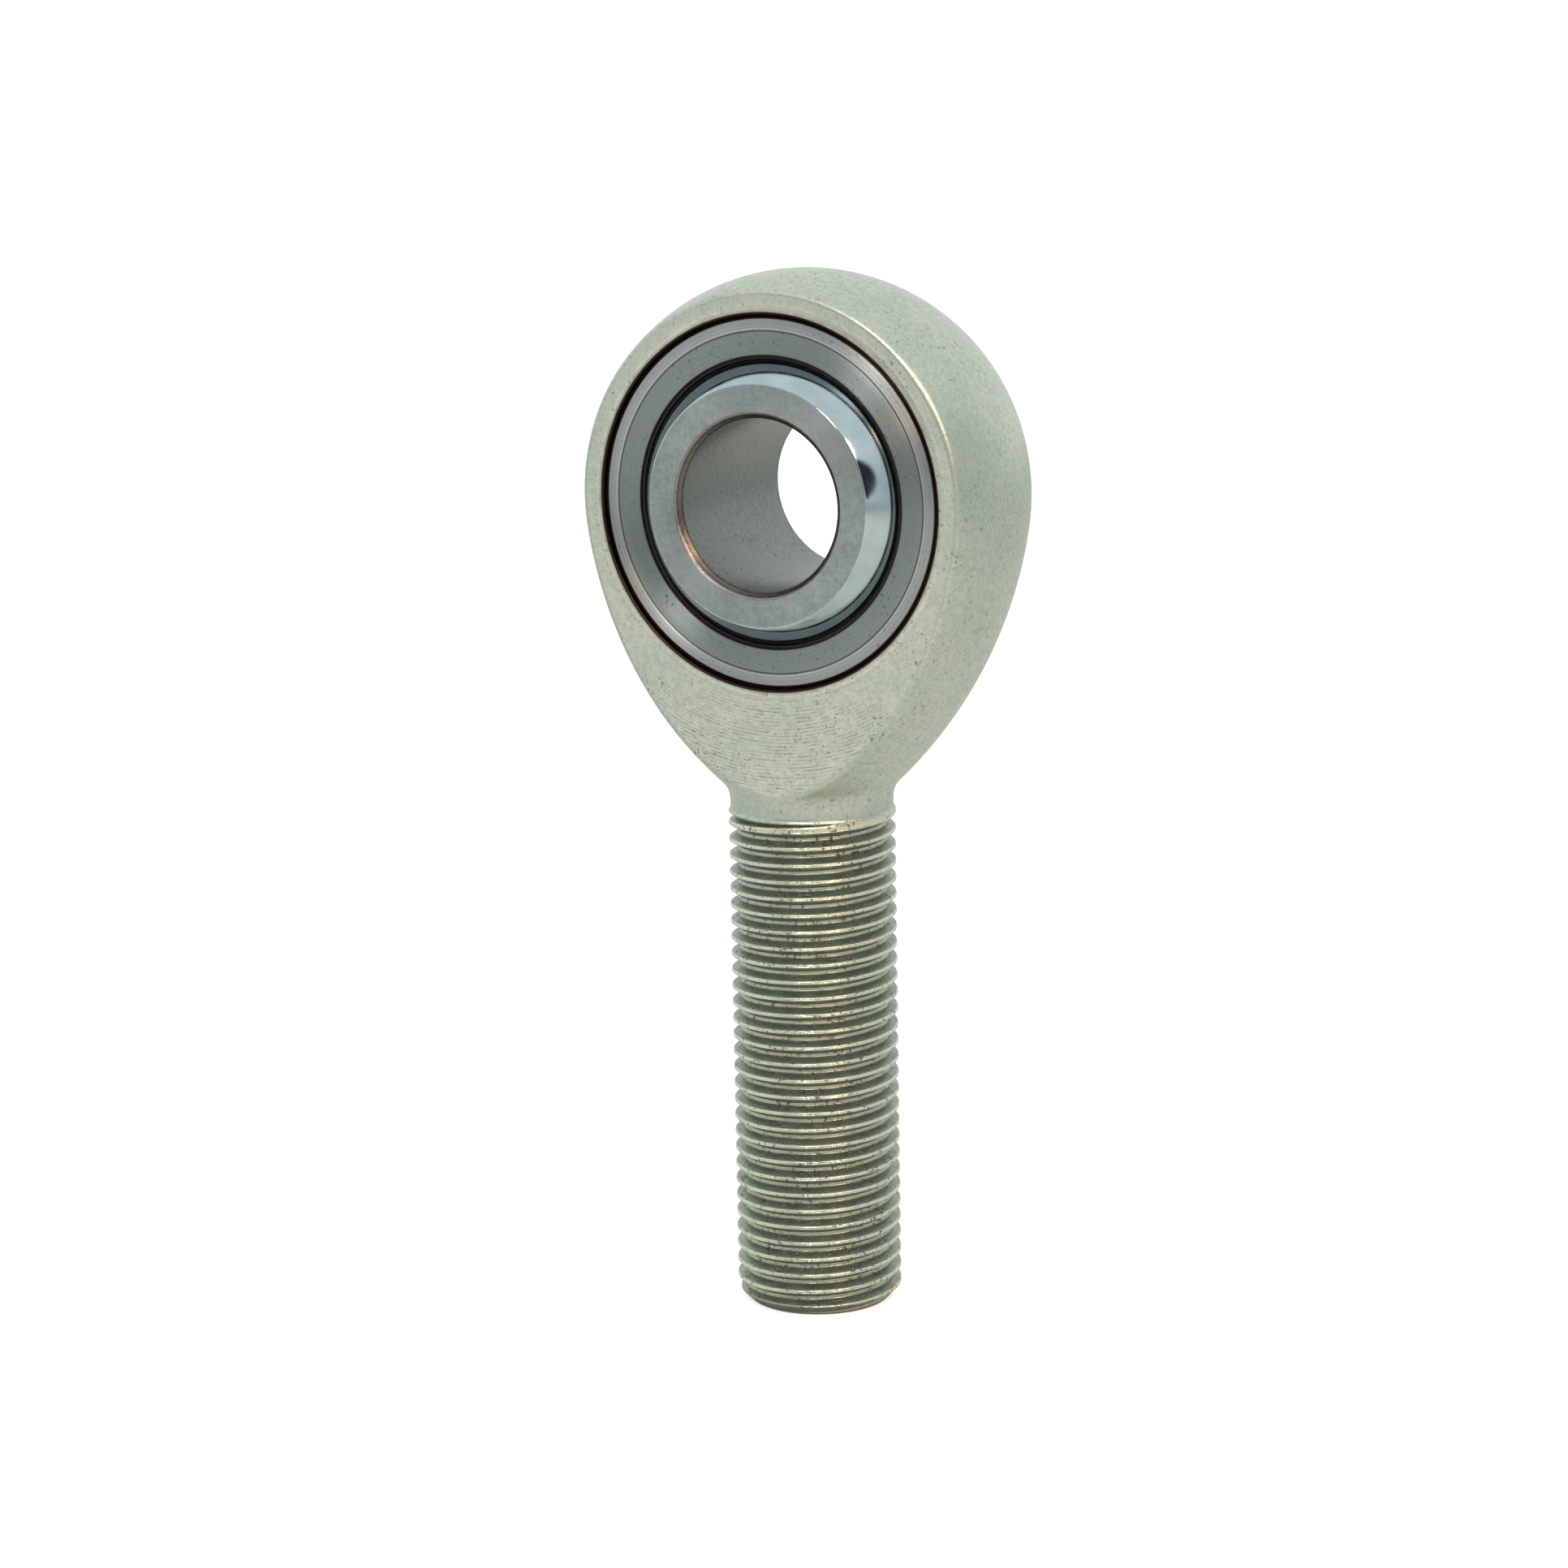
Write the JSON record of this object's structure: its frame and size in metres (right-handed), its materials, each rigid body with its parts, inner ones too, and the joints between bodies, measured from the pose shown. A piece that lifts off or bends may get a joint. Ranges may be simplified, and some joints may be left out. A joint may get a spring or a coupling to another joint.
{
  "type": "rod end bearing",
  "caption": "Male rod end bearing: a lined spherical ball swivelling in a swaged race inside the eye of a threaded shank.",
  "frame": {"origin": "centre of the ball", "axes": "+Y along the ball's bore, +Z away from the shank along its axis, so the shank points down"},
  "size_m": [0.0334, 0.0158, 0.0786],
  "materials": {
    "plated_steel": "zinc-plated, satin, slightly yellow-green",
    "race_steel": "turned and swaged, blue-grey, fine concentric lines",
    "liner_fabric": "matt black woven PTFE liner",
    "ball_steel": "polished hard chrome on the sphere, ground on the faces and the bore"
  },
  "bodies": {
    "housing": {"rod_end_body": "plated_steel", "outer_race": "race_steel", "liner": "liner_fabric"},
    "ball": {"ball": "ball_steel"}
  },
  "joints": [
    {"name": "ball_swivel", "type": "hinge", "parent": "housing", "child": "ball", "pos_m": [0, 0, 0], "axis": [1, 0, 0], "range_deg": [-12, 12]}
  ]
}
